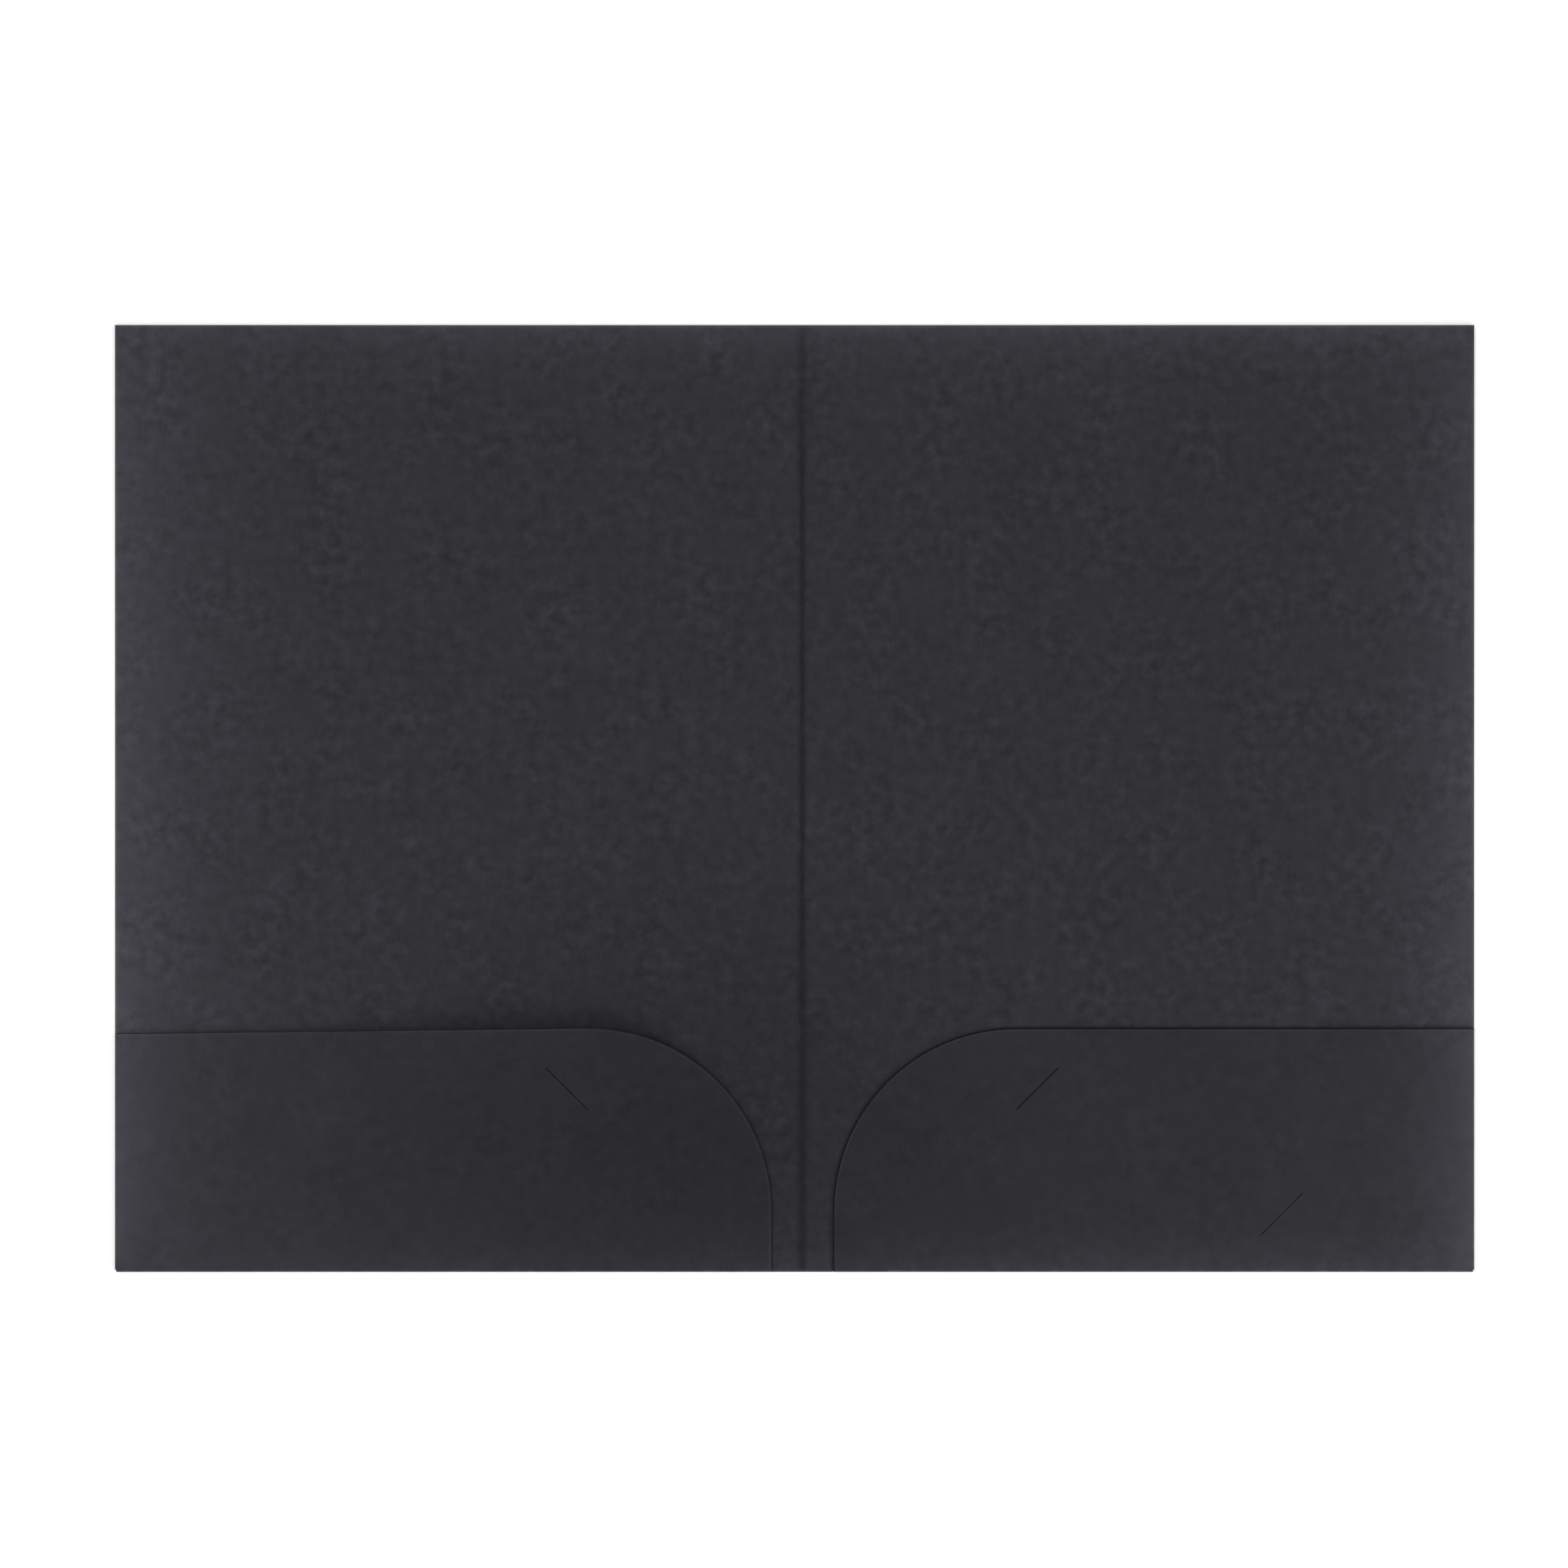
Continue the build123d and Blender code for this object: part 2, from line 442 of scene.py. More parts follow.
def thicken(bm, inset, outer_radius, inner_radius, outer_slot, inner_slot):
    """Give the sheet the card's thickness, with rounded edges and a material for each side."""
    bm.normal_update()
    facing = bm.verts.layers.float_vector.new("facing")
    for vert in bm.verts:
        vert[facing] = vert.normal
    outer_faces = set(bm.faces)
    outer_verts = set(bm.verts)
    inner = bmesh.ops.solidify(bm, geom=bm.faces[:], thickness=CARD)["geom"]
    inner_faces = {face for face in inner if isinstance(face, bmesh.types.BMFace)}
    for face in bm.faces:
        # Rounded bands take the cut edge's black core, which along a pocket's free edge also paints its
        # shadow line
        rounded = all(vert[inset] < outer_radius + TOUCH for vert in face.verts)
        if face in inner_faces:
            face.material_index = inner_slot
        else:
            face.material_index = outer_slot if face in outer_faces and not rounded else CUT_EDGE
    for vert in bm.verts:
        if vert in outer_verts:
            vert.co -= vert[facing] * round_drop(vert[inset], outer_radius)
        else:
            vert.co += vert[facing] * round_drop(vert[inset], inner_radius)
    bm.verts.layers.float_vector.remove(facing)


def mark_places(bm):
    """Keep each point's place at rest, which the card's pattern follows when the card bends."""
    blank = bm.verts.layers.float_vector.new("blank")
    for vert in bm.verts:
        vert[blank] = vert.co


def add_piece(name, bm, materials):
    """Object at the origin with the mesh and its materials."""
    mesh = bpy.data.meshes.new(name)
    bm.to_mesh(mesh)
    bm.free()
    for material in materials:
        mesh.materials.append(material)
    mesh.shade_smooth()
    mesh.set_sharp_from_angle(angle=SHARP_ANGLE)
    piece = bpy.data.objects.new(name, mesh)
    bpy.context.scene.collection.objects.link(piece)
    return piece


# Covers

def crease_shade(distance, y, spread):
    """How strongly the score is pressed at a point, from 0 to 1, which also sets the shade painted along
    its groove.
    """
    at_top = ease(y, *TOP_FADE)
    at_foot = ease(-y, *FOOT_FADE)
    blur = spread * (1 + TOP_SPREAD * at_top + FOOT_SPREAD * at_foot)
    strength = 1 - TOP_LOSS * at_top - FOOT_LOSS * at_foot
    return strength * math.exp(-0.5 * (distance / blur) ** 2)


def corner_lift(cover, distance, y, curl):
    """Height that a cover's top corner curls up from the table."""
    return curl * ease(y, 0, TOP_EDGE) * (distance / cover.width) ** 2


def cover_mesh(cover, shape):
    """Cover from the middle of the crease to the fore edge, cut back along its bottom fold."""
    bm = flat_sheet((
        (-MARGIN, BOTTOM_EDGE),
        (cover.width, BOTTOM_EDGE),
        (cover.width, TOP_EDGE),
        (-MARGIN, TOP_EDGE),
    ), CARD)
    inset = edge_loops(bm, shape.rim_width, shape.edge_round)
    trim(bm, -OUTWARDS, 0)
    cut_across(bm, OUTWARDS, even_places(0, BEND_REACH, BEND_STEP))
    for direction, start, stop in (
        (OUTWARDS, BEND_REACH, cover.leaf_inner),
        (OUTWARDS, cover.leaf_inner, cover.width),
        (UPWARDS, cover.leaf_foot, TOP_EDGE),
    ):
        cut_across(bm, direction, [start, *even_places(start, stop, shape.mesh_step)])
    beside = [face for face in bm.faces if face.calc_center_median().x > cover.leaf_inner]
    notch = [face for face in beside if face.calc_center_median().y < cover.leaf_foot]
    bmesh.ops.delete(bm, geom=notch, context="FACES")
    mark_rim(bm, inset, shape.rim_width, shape.edge_round, 1)
    thicken(bm, inset, shape.edge_round, shape.edge_round, INSIDE, OUTSIDE)

    groove_half = shape.groove_width / 2
    for vert in bm.verts:
        if vert.co.z > CARD / 2 and vert.co.x < groove_half:
            vert.co.z -= shape.groove_depth * math.cos(math.pi / 2 * vert.co.x / groove_half) ** 2

    crease = bm.verts.layers.float.new("crease")
    for vert in bm.verts:
        vert[crease] = crease_shade(vert.co.x, vert.co.y, shape.crease_spread)

    cover.place(bm)
    mark_places(bm)
    for vert in bm.verts:
        distance = cover.distance(vert.co.x)
        vert.co.z += corner_lift(cover, distance, vert.co.y, shape.corner_curl)
    return bm


# Pockets

def leaf_sheet(cover, shape, mouth_round):
    """Flat leaf with its round corner, drawn past its folds and trimmed back to them."""
    corner_x = cover.leaf_inner + shape.corner_radius
    slope = (cover.mouth - cover.side_mouth) / (cover.leaf_outer - corner_x)
    inner_mouth = cover.mouth + slope * shape.corner_radius
    bm = flat_sheet((
        (cover.leaf_inner, cover.leaf_foot - MARGIN),
        (cover.leaf_outer + MARGIN, cover.leaf_foot - MARGIN),
        (cover.leaf_outer + MARGIN, cover.side_mouth - slope * MARGIN),
        (cover.leaf_inner, inner_mouth),
    ), cover.leaf_top)
    corner = max(bm.verts, key=lambda vert: vert.co.y - vert.co.x)
    turn = math.pi / 2 + math.atan(slope)
    bmesh.ops.bevel(
        bm, geom=[corner], offset=shape.corner_radius * math.tan(turn / 2), offset_type="OFFSET",
        segments=CORNER_STEPS, profile=0.5, affect="VERTICES", material=-1)
    inset = edge_loops(bm, shape.rim_width, mouth_round)
    trim(bm, -UPWARDS, -cover.leaf_foot)
    trim(bm, OUTWARDS, cover.leaf_outer)
    cut_across(bm, OUTWARDS, even_places(cover.leaf_inner, cover.leaf_outer, shape.mesh_step))
    cut_across(bm, UPWARDS, even_places(cover.leaf_foot, cover.mouth, shape.mesh_step))
    return bm, inset


def cut_slit(bm, start, stop, opening, end):
    """Slit in the leaf from start to stop, which closes over a short end."""
    middle = (start + stop) / 2
    along = (stop - start).normalized()
    across = Vector((-along.y, along.x, 0))
    half = (stop - start).length / 2

    def around():
        return [face for face in bm.faces
                if (face.calc_center_median() - middle).length < half * SLIT_ROOM]

    line = across.dot(start)
    cut_across(bm, across, (line - end, line, line + end), around)
    first, last = along.dot(start), along.dot(stop)
    cut_across(bm, along, (first, first + end, last - end, last), around)

    def on_line(vert):
        off_line = abs(across.dot(vert.co) - line)
        off_middle = abs(along.dot(vert.co - middle))
        return off_line < TOUCH and off_middle < half + TOUCH

    seam = [edge for edge in bm.edges if all(on_line(vert) for vert in edge.verts)]
    bmesh.ops.split_edges(bm, edges=seam)
    lips = [vert for vert in bm.verts if vert.is_boundary and on_line(vert)]
    for vert in lips:
        side = sum(across.dot(face.calc_center_median()) - line for face in vert.link_faces)
        if abs(along.dot(vert.co - middle)) < half - TOUCH:
            vert.co += across * math.copysign(opening / 2, side)


def cut_slits(bm, cover, shape):
    """Upper and lower slit, across opposite corners of the window for a card."""
    left = cover.leaf_inner + shape.window_inset
    right = left + shape.window_length
    base = BOTTOM_EDGE + shape.window_base
    top = base + shape.window_height
    reach = shape.slit_reach
    height = cover.leaf_top
    for start, stop, openings in (
        ((left, top - reach), (left + reach, top), shape.upper_slits),
        ((right - reach, base), (right, base + reach), shape.lower_slits),
    ):
        cut_slit(bm, Vector((*start, height)), Vector((*stop, height)),
                 openings[cover.index], shape.slit_end)


def turn_bottom_fold(bm, cover):
    """Turn the leaf's foot through a half circle, down to the cover."""
    foot = [edge for edge in bm.edges if edge.is_boundary
            and all(abs(vert.co.y - cover.leaf_foot) < TOUCH for vert in edge.verts)]
    bmesh.ops.spin(
        bm, geom=foot, cent=(0, cover.leaf_foot, cover.leaf_top - cover.bottom_roll),
        axis=OUTWARDS, angle=math.pi, steps=FOLD_STEPS)


def turn_glue_tab(bm, cover, shape):
    """Turn the leaf's fore edge down and under, into a glue tab that tapers to its free edge."""
    fore = [edge for edge in bm.edges if edge.is_boundary
            and all(abs(vert.co.x - cover.leaf_outer) < TOUCH and vert.co.z > cover.leaf_top - TOUCH
                    for vert in edge.verts)]
    turned = bmesh.ops.spin(
        bm, geom=fore, cent=(cover.leaf_outer, 0, cover.leaf_top - cover.side_roll),
        axis=UPWARDS, angle=math.pi, steps=FOLD_STEPS)["geom_last"]
    tab = bmesh.ops.extrude_edge_only(
        bm, edges=[edge for edge in turned if isinstance(edge, bmesh.types.BMEdge)])["geom"]
    tab_verts = [vert for vert in tab if isinstance(vert, bmesh.types.BMVert)]
    bmesh.ops.translate(bm, vec=(cover.tab_inner - cover.leaf_outer, 0, 0), verts=tab_verts)
    tab_length = cover.side_mouth - cover.leaf_foot
    tab_middle = (cover.side_mouth + cover.leaf_foot) / 2
    for vert in tab_verts:
        vert.co.y = tab_middle + (vert.co.y - tab_middle) * (1 - 2 * shape.tab_taper / tab_length)


def leaf_lift(cover, distance, y, shape):
    """Height that the pocket leaf stands off the cover beyond its folded thickness."""
    beyond = distance - cover.leaf_inner
    from_spine = ease(beyond, shape.lift_inset, shape.corner_radius)
    from_fore_edge = 1 - ease(beyond, shape.lift_level, shape.lift_reach)
    up = min(max((y - cover.leaf_foot) / (cover.mouth - cover.leaf_foot), 0), 1)
    lift = shape.mouth_lifts[cover.index] * from_fore_edge * from_spine * up ** 2
    off_folds = ease(y, cover.leaf_foot, cover.leaf_foot + shape.spring_reach)
    off_folds *= 1 - ease(distance, cover.tab_inner - shape.spring_reach, cover.tab_inner)
    return lift + shape.leaf_springs[cover.index] * off_folds


def pocket_mesh(cover, shape):
    """Pocket leaf with its bottom fold, its side fold and its glue tab, as one turned card."""
    mouth_round = shape.mouth_rounds[cover.index]
    bm, inset = leaf_sheet(cover, shape, mouth_round)
    mark_rim(bm, inset, shape.rim_width, mouth_round, shape.mouth_rubs_and_highlights[cover.index])
    cut_slits(bm, cover, shape)
    turn_bottom_fold(bm, cover)
    turn_glue_tab(bm, cover, shape)

    bmesh.ops.recalc_face_normals(bm, faces=bm.faces[:])
    leaf_face = max(bm.faces, key=lambda face: face.calc_center_median().z)
    if leaf_face.normal.z < 0:
        bmesh.ops.reverse_faces(bm, faces=bm.faces[:])

    ridge = bm.verts.layers.float.new("ridge")
    for vert in bm.verts:
        vert[ridge] = float(vert.co.z < cover.leaf_top - TOUCH)

    thicken(bm, inset, mouth_round, shape.edge_round, OUTSIDE, INSIDE)
    cover.place(bm)
    mark_places(bm)
    for vert in bm.verts:
        vert.co.z += leaf_lift(cover, cover.distance(vert.co.x), vert.co.y, shape)
    return bm


# Material helpers

def new_material(name):
    """Material with one shader and nothing else."""
    material = bpy.data.materials.new(name)
    material.use_nodes = True
    tree = material.node_tree
    tree.nodes.clear()
    output = tree.nodes.new("ShaderNodeOutputMaterial")
    shader = tree.nodes.new("ShaderNodeBsdfPrincipled")
    tree.links.new(shader.outputs["BSDF"], output.inputs["Surface"])
    return material, tree, shader


def add_node(tree, kind, inputs, **settings):
    """Node with its settings, and its inputs set to values or linked from sockets."""
    made = tree.nodes.new(kind)
    for name, value in settings.items():
        setattr(made, name, value)
    for socket, value in inputs.items():
        if isinstance(value, bpy.types.NodeSocket):
            tree.links.new(value, made.inputs[socket])
        else:
            made.inputs[socket].default_value = value
    return made


def attribute(tree, name):
    """Attribute that the piece's mesh carries."""
    return add_node(tree, "ShaderNodeAttribute", {}, attribute_name=name)


def object_place(tree):
    """Place on a piece that doesn't bend."""
    return add_node(tree, "ShaderNodeTexCoord", {}).outputs["Object"]


def scaled(tree, place, scale, angle=0):
    """Place with its directions stretched, and then turned in the card's plane."""
    made = add_node(tree, "ShaderNodeMapping", {
        "Vector": place, "Rotation": (0, 0, angle), "Scale": scale})
    return made.outputs["Vector"]


def noise(tree, place, size, detail=2.0, roughness=0.5):
    """Cloudy pattern whose patches are about as large as the size."""
    made = add_node(tree, "ShaderNodeTexNoise", {
        "Vector": place, "Scale": 1 / size, "Detail": detail, "Roughness": roughness})
    return made.outputs["Fac"]


def stretch(tree, value, old, new):
    """Value moved from an old range to a new one, and held at its ends."""
    made = add_node(tree, "ShaderNodeMapRange", {
        "Value": value, "From Min": old[0], "From Max": old[1], "To Min": new[0], "To Max": new[1]})
    return made.outputs["Result"]


def maths(tree, operation, first, second):
    """One calculation with two values."""
    made = add_node(tree, "ShaderNodeMath", {0: first, 1: second}, operation=operation)
    return made.outputs["Value"]


def toned(tree, colour, tone):
    """Colour made darker or lighter."""
    made = add_node(tree, "ShaderNodeVectorMath", {0: colour[:], "Scale": tone}, operation="SCALE")
    return made.outputs["Vector"]


def mixed(tree, factor, first, second):
    """Colour between two colours."""
    made = add_node(
        tree, "ShaderNodeMix", {"Factor": factor, "A": first, "B": second}, data_type="RGBA")
    return made.outputs[2]  # the colour, after the plain value and the vector


def add_bump(tree, shader, pattern, strength, height):
    """Fine relief that the shader shows where the mesh is smooth."""
    made = add_node(tree, "ShaderNodeBump", {
        "Height": pattern, "Strength": strength, "Distance": height})
    tree.links.new(made.outputs["Normal"], shader.inputs["Normal"])


def rgba(colour):
    """Colour with full alpha."""
    return (*colour, 1)


# Materials

def fibres(tree, place, angle):
    """Thin hairs of paper along the spine, of which each angle makes another set."""
    hairs = noise(tree, scaled(tree, place, (1, FIBRE_STRETCH, 1), angle), FIBRE_SIZE, detail=1.0)
    return stretch(tree, hairs, CRESTS, (0, 1))


def painted_shade_tone(tree, place, finish):
    """Painted shade: the card's tone is drawn darker in a soft spot around the foot of the spine."""
    reach_x, reach_y = finish.painted_shade_reach
    middle_x = FOLD_X + finish.painted_shade_place[0]
    middle_y = BOTTOM_EDGE + finish.painted_shade_place[1]
    spot = add_node(tree, "ShaderNodeMapping", {
        "Vector": place, "Scale": (1 / reach_x, 1 / reach_y, 0),
        "Location": (-middle_x / reach_x, -middle_y / reach_y, 0)})
    near = add_node(tree, "ShaderNodeTexGradient", {
        "Vector": spot.outputs["Vector"]}, gradient_type="SPHERICAL")
    tone = add_node(tree, "ShaderNodeMapRange", {
        "Value": near.outputs["Fac"], "To Min": 1, "To Max": 1 - finish.painted_shade_depth},
        interpolation_type="SMOOTHSTEP")
    return tone.outputs["Result"]


def card_material(name, finish, grain, shade):
    """Dyed card: mottled grain, short fibres, rubbed rims with a painted highlight, a burnished score
    with painted shade in its groove, and painted shade around the foot of the spine.
    """
    material, tree, shader = new_material(name)
    place = attribute(tree, "blank").outputs["Vector"]
    crease = attribute(tree, "crease").outputs["Fac"]
    fine = noise(tree, place, finish.grain_size, detail=3.0, roughness=0.56)
    felt = noise(tree, place, finish.grain_size * FELT_SHARE, roughness=0.6)
    clouds = noise(tree, place, CLOUD_SIZE)

    # The grain is stronger in some patches than in others
    strengths = [share * grain for share in PATCH_SHARES]
    patches = stretch(tree, noise(tree, place, PATCH_SIZE), HARD, strengths)
    mottle = maths(tree, "MULTIPLY", stretch(tree, fine, WIDE, (-1, 1)), patches)
    tone = maths(tree, "MULTIPLY", maths(tree, "POWER", math.e, mottle),
                 stretch(tree, clouds, SOFT, CLOUD_TONES))
    # Painted shade around the foot of the spine
    tone = maths(tree, "MULTIPLY", tone, painted_shade_tone(tree, place, finish))
    # Painted shade along the score's groove, together with its burnished darker card
    score = stretch(tree, crease, (0, 1), (shade, SCORE_SHADE_AND_TONE * shade))
    card = toned(tree, finish.card_colour, maths(tree, "MULTIPLY", tone, score))

    # Paler fibres lie on the card
    hairs = maths(tree, "MAXIMUM", *[fibres(tree, place, turn) for turn in FIBRE_TURNS])
    card = mixed(tree, maths(tree, "MULTIPLY", hairs, grain), card, rgba(finish.fibre_colour))

    # Rims are rubbed and carry a painted highlight, and turned folds are rubbed
    worn_and_lit = maths(tree, "MULTIPLY", attribute(tree, "rim").outputs["Fac"],
                 stretch(tree, clouds, HARD, RIM_WEAR_AND_HIGHLIGHT))
    ridge = maths(tree, "MULTIPLY", attribute(tree, "ridge").outputs["Fac"],
                  stretch(tree, fine, UPPER, RIDGE_WEAR))
    card = mixed(tree, maths(tree, "MAXIMUM", worn_and_lit, ridge), card, rgba(finish.rub_and_highlight_colour))
    tree.links.new(card, shader.inputs["Base Color"])

    roughness = maths(tree, "SUBTRACT", stretch(tree, felt, SOFT, CARD_ROUGHNESS),
                      maths(tree, "MULTIPLY", crease, BURNISH))
    tree.links.new(roughness, shader.inputs["Roughness"])
    shader.inputs["Specular IOR Level"].default_value = CARD_SHEEN
    relief = maths(tree, "ADD", fine, maths(tree, "MULTIPLY", felt, FELT_RELIEF))
    add_bump(tree, shader, relief, strength=0.5, height=GRAIN_HEIGHT * grain)
    return material


def cut_edge_material(finish):
    """Bare cut edge of the card, with its pressed layers; its deep black core also paints the shadow
    line along a pocket's free edge.
    """
    material, tree, shader = new_material("card_cut_edge")
    layers = scaled(tree, attribute(tree, "blank").outputs["Vector"], (1, 1, PLY_SQUASH))
    plies = noise(tree, layers, PLY_SIZE, detail=3.0, roughness=0.6)
    colour = mixed(tree, stretch(tree, plies, HARD, PLY_MIX),
                   rgba(finish.core_and_shadow_colour), rgba(finish.card_colour))
    tree.links.new(colour, shader.inputs["Base Color"])
    tree.links.new(stretch(tree, plies, SOFT, PLY_ROUGHNESS), shader.inputs["Roughness"])
    shader.inputs["Specular IOR Level"].default_value = CARD_SHEEN
    add_bump(tree, shader, plies, strength=0.6, height=PLY_HEIGHT)
    return material


def glue_material(finish):
    """Dried glue, smeared along the tab."""
    material, tree, shader = new_material("dried_glue")
    smear = scaled(tree, object_place(tree), (1, STREAK_STRETCH, 1))
    streaks = noise(tree, smear, STREAK_SIZE, detail=3.0, roughness=0.6)
    colour = toned(tree, finish.glue_colour, stretch(tree, streaks, SOFT, STREAK_TONES))
    tree.links.new(colour, shader.inputs["Base Color"])
    tree.links.new(stretch(tree, streaks, SOFT, STREAK_ROUGHNESS), shader.inputs["Roughness"])
    add_bump(tree, shader, streaks, strength=0.4, height=STREAK_HEIGHT)
    return material


def card_materials(finish):
    """The card's three materials, made once and shared by its pieces."""
    made = [bpy.data.materials.get(name) for name in ("card_outside", "card_inside", "card_cut_edge")]
    if None in made:
        made = [
            card_material("card_outside", finish, finish.outside_grain, finish.outside_tone),
            card_material("card_inside", finish, finish.inside_grain, 1),
            cut_edge_material(finish),
        ]
    return made


def seen_rays(tree):
    """1 for rays from the camera, a mirror or a pane, and 0 for the rays that light things."""
    path = add_node(tree, "ShaderNodeLightPath", {})
    seen = maths(tree, "MAXIMUM", path.outputs["Is Camera Ray"], path.outputs["Is Glossy Ray"])
    return maths(tree, "MAXIMUM", seen, path.outputs["Is Transmission Ray"])


def floor_material(colour, fill):
    """White table that reads white near the folder and far off, and keeps the folder's shadow."""
    material, tree, shader = new_material("white_table")
    place = object_place(tree)
    speckle = noise(tree, place, SPECKLE_SIZE)
    tint = toned(tree, colour, stretch(tree, speckle, SOFT, SPECKLE_TONES))
    tree.links.new(tint, shader.inputs["Base Color"])
    shader.inputs["Roughness"].default_value = 0.9
    shader.inputs["Specular IOR Level"].default_value = 0.0
    shader.inputs["Emission Color"].default_value = (1, 1, 1, 1)
    distance = add_node(tree, "ShaderNodeVectorMath", {0: place}, operation="LENGTH").outputs["Value"]
    shine = stretch(
        tree, distance, (NEAR, FAR), (NEAR_WHITE - colour[0], FAR_WHITE - fill * colour[0]))
    tree.links.new(maths(tree, "MULTIPLY", shine, seen_rays(tree)), shader.inputs["Emission Strength"])
    return material


# Stage

def set_world(fill):
    """Even light from all round, in front of a white backdrop."""
    world = bpy.data.worlds.new("studio")
    world.use_nodes = True
    tree = world.node_tree
    back = tree.nodes["Background"]
    back.inputs["Color"].default_value = (1, 1, 1, 1)
    tree.links.new(stretch(tree, seen_rays(tree), (0, 1), (fill, 1)), back.inputs["Strength"])
    bpy.context.scene.world = world


def add_light(name, place, facing, size, energy):
    """Rectangular lamp that the camera doesn't see."""
    light = bpy.data.lights.new(name, "AREA")
    light.shape = "RECTANGLE"
    light.size, light.size_y = size
    light.energy = energy
    holder = bpy.data.objects.new(name, light)
    holder.location = place
    holder.rotation_euler = facing.to_track_quat("-Z", "Y").to_euler()
    holder.visible_camera = False
    bpy.context.scene.collection.objects.link(holder)
    return holder


def add_lamp(name, place, side, share):
    """Square lamp that gives a share of the plain light level at the folder's middle."""
    path = -Vector(place)
    slope = abs(path.normalized().z)
    energy = share * math.pi ** 2 * path.length_squared / slope
    add_light(name, place, path, (side, side), energy)


def add_glow(name, start, stop, height, brightness, lit):
    """Low strip lamp that stands on the table and lights the edge of the card at its left."""
    run = stop - start
    facing = Vector((-run.y, run.x, 0))
    energy = brightness * math.pi * run.length * height
    strip = add_light(
        name, (*((start + stop) / 2), height / 2), facing, (run.length, height), energy)
    strip.light_linking.receiver_collection = lit


def add_glows(brightness):
    """Strip lamps along the folder's four edges, which light the card alone."""
    card = bpy.data.collections.new("lit_card")
    for cover in COVERS:
        card.objects.link(bpy.data.objects[f"{cover.name}_cover_card"])
        card.objects.link(bpy.data.objects[f"{cover.name}_pocket_card"])
    low, high = cad_box
    corners = [Vector(corner) for corner in (
        (low.x, low.y), (high.x, low.y), (high.x, high.y), (low.x, high.y))]
    for side, (name, glow) in enumerate(GLOWS.items()):
        first_gap, last_gap, height, share = glow
        first, last = corners[side], corners[(side + 1) % len(corners)]
        run = (last - first).normalized()
        outwards = Vector((run.y, -run.x))
        add_glow(name, first + outwards * first_gap, last + outwards * last_gap,
                 height, share * brightness, card)


# Operators

class FOLDER_OT_covers(Operator):
    """Build the two covers, which meet in the score along the spine"""

    bl_idname = "folder.covers"
    bl_label = "Covers"
    bl_options = {"REGISTER", "UNDO"}

    def execute(self, context):
        shape = context.scene.folder_shape
        for cover in COVERS:
            piece = add_piece(
                f"{cover.name}_cover_card", cover_mesh(cover, shape),
                card_materials(context.scene.folder_finish))
            cover.point(CREASE_WIDTH, 0, CARD)
            cover.point(0, 0, CARD)
            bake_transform(piece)
            if cover.name == "back":
                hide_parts("back_panel", "spine_crease")
            else:
                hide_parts("front_panel")
        return {"FINISHED"}


class FOLDER_OT_pockets(Operator):
    """Build the two pockets with their turned folds and glue tabs"""

    bl_idname = "folder.pockets"
    bl_label = "Pockets"
    bl_options = {"REGISTER", "UNDO"}

    def execute(self, context):
        shape = context.scene.folder_shape
        for cover in COVERS:
            name = cover.name
            piece = add_piece(
                f"{name}_pocket_card", pocket_mesh(cover, shape),
                card_materials(context.scene.folder_finish))
            middle = (cover.leaf_foot + cover.mouth) / 2
            cover.point(cover.tab_inner, middle, cover.leaf_top)
            cover.point(cover.leaf_inner, middle, cover.leaf_top)
            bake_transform(piece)
            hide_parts(f"{name}_pocket", f"{name}_pocket_fold",
                        f"{name}_side_fold", f"{name}_glue_tab")
        return {"FINISHED"}


class FOLDER_OT_glue(Operator):
    """Finish the glue that holds the tabs down"""

    bl_idname = "folder.glue"
    bl_label = "Glue"
    bl_options = {"REGISTER", "UNDO"}

    def execute(self, context):
        material = glue_material(context.scene.folder_finish)
        for cover in COVERS:
            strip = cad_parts[f"{cover.name}_glue_strip"]
            strip.data.materials.clear()
            strip.data.materials.append(material)
        return {"FINISHED"}


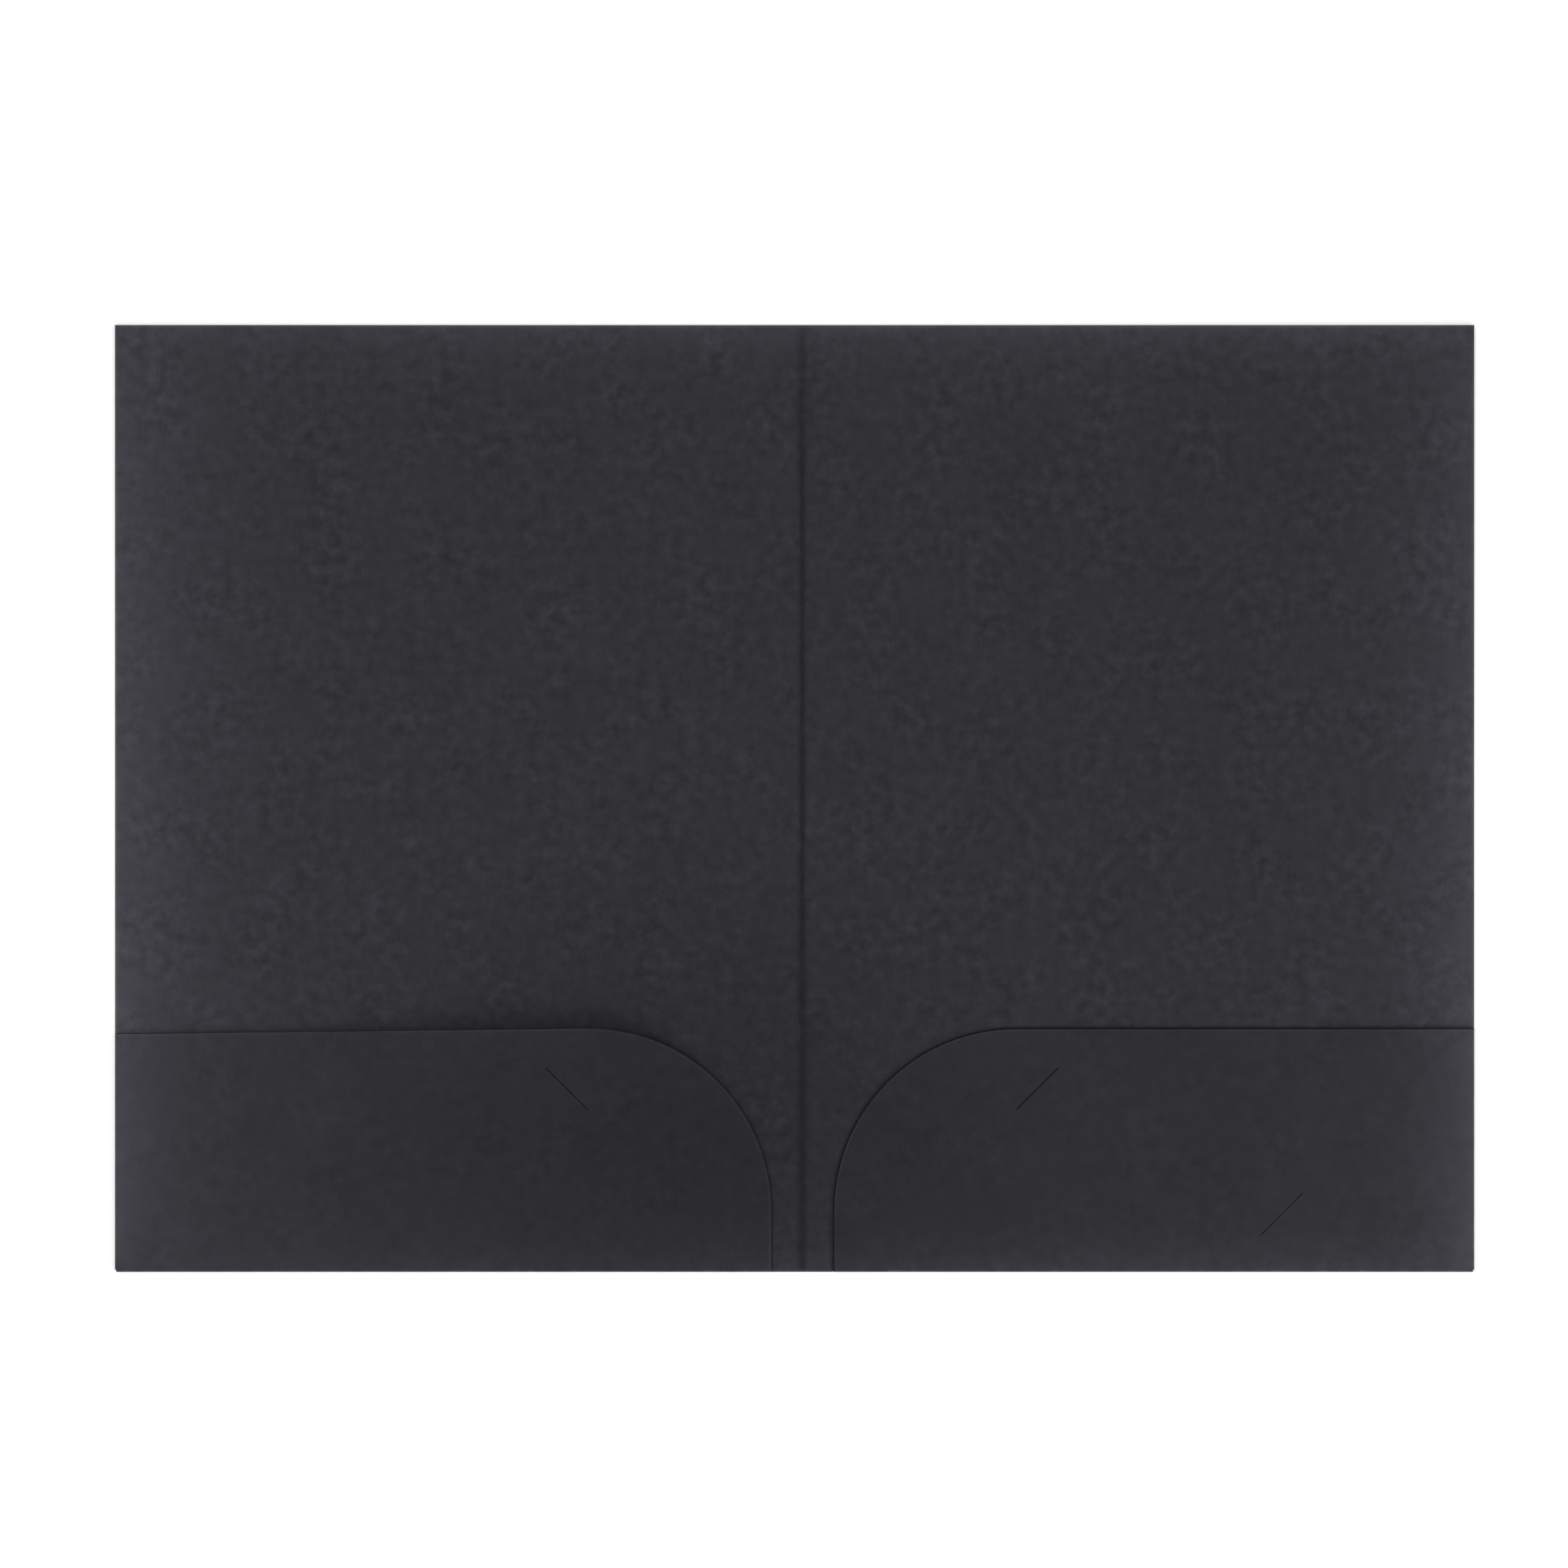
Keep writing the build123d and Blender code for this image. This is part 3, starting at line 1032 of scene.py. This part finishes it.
class FOLDER_OT_stage(Operator):
    """Set the white table, the studio light and the camera over the open folder"""

    bl_idname = "folder.stage"
    bl_label = "Stage"
    bl_options = {"REGISTER", "UNDO"}

    def execute(self, context):
        scene = context.scene
        stage = scene.folder_stage
        scene.view_settings.view_transform = "Standard"

        lens = bpy.data.cameras.new("camera")
        lens.lens = stage.lens
        camera = bpy.data.objects.new("camera", lens)
        distance = stage.frame_width * stage.lens / lens.sensor_width
        camera.location = (stage.aim_x, stage.aim_y, CARD + distance)
        scene.collection.objects.link(camera)
        scene.camera = camera

        bm = bmesh.new()
        bmesh.ops.create_grid(bm, x_segments=1, y_segments=1, size=TABLE_HALF)
        bmesh.ops.translate(bm, vec=(0, 0, -TABLE_DROP), verts=bm.verts[:])
        add_piece("table", bm, [floor_material(stage.floor_colour, stage.fill)])

        set_world(stage.fill)
        add_lamp("key_lamp", stage.key_place, stage.lamp_side, stage.key_light)
        add_lamp("left_lamp", stage.left_place, stage.lamp_side, stage.left_light)
        add_glows(stage.glow)
        return {"FINISHED"}


# Panel and registration

class FOLDER_PT_build(Panel):
    """List of the folder's steps and sizes"""

    bl_idname = "FOLDER_PT_build"
    bl_label = "Pocket Folder"
    bl_space_type = "VIEW_3D"
    bl_region_type = "UI"
    bl_category = "Folder"

    def draw(self, context):
        scene = context.scene
        for group in (scene.folder_shape, scene.folder_finish, scene.folder_stage):
            box = self.layout.box()
            for name in group.__annotations__:
                box.prop(group, name)
        for operator in OPERATORS:
            self.layout.operator(operator.bl_idname)


OPERATORS = (FOLDER_OT_covers, FOLDER_OT_pockets, FOLDER_OT_glue, FOLDER_OT_stage)
CLASSES = (FolderShape, FolderFinish, FolderStage, *OPERATORS, FOLDER_PT_build)


def register():
    for cls in CLASSES:
        bpy.utils.register_class(cls)
    bpy.types.Scene.folder_shape = PointerProperty(type=FolderShape)
    bpy.types.Scene.folder_finish = PointerProperty(type=FolderFinish)
    bpy.types.Scene.folder_stage = PointerProperty(type=FolderStage)


def unregister():
    del bpy.types.Scene.folder_stage
    del bpy.types.Scene.folder_finish
    del bpy.types.Scene.folder_shape
    for cls in reversed(CLASSES):
        bpy.utils.unregister_class(cls)


def main():
    register()
    bpy.ops.folder.covers()
    bpy.ops.folder.pockets()
    bpy.ops.folder.glue()
    bpy.ops.folder.stage()


if __name__ == "__main__":
    main()
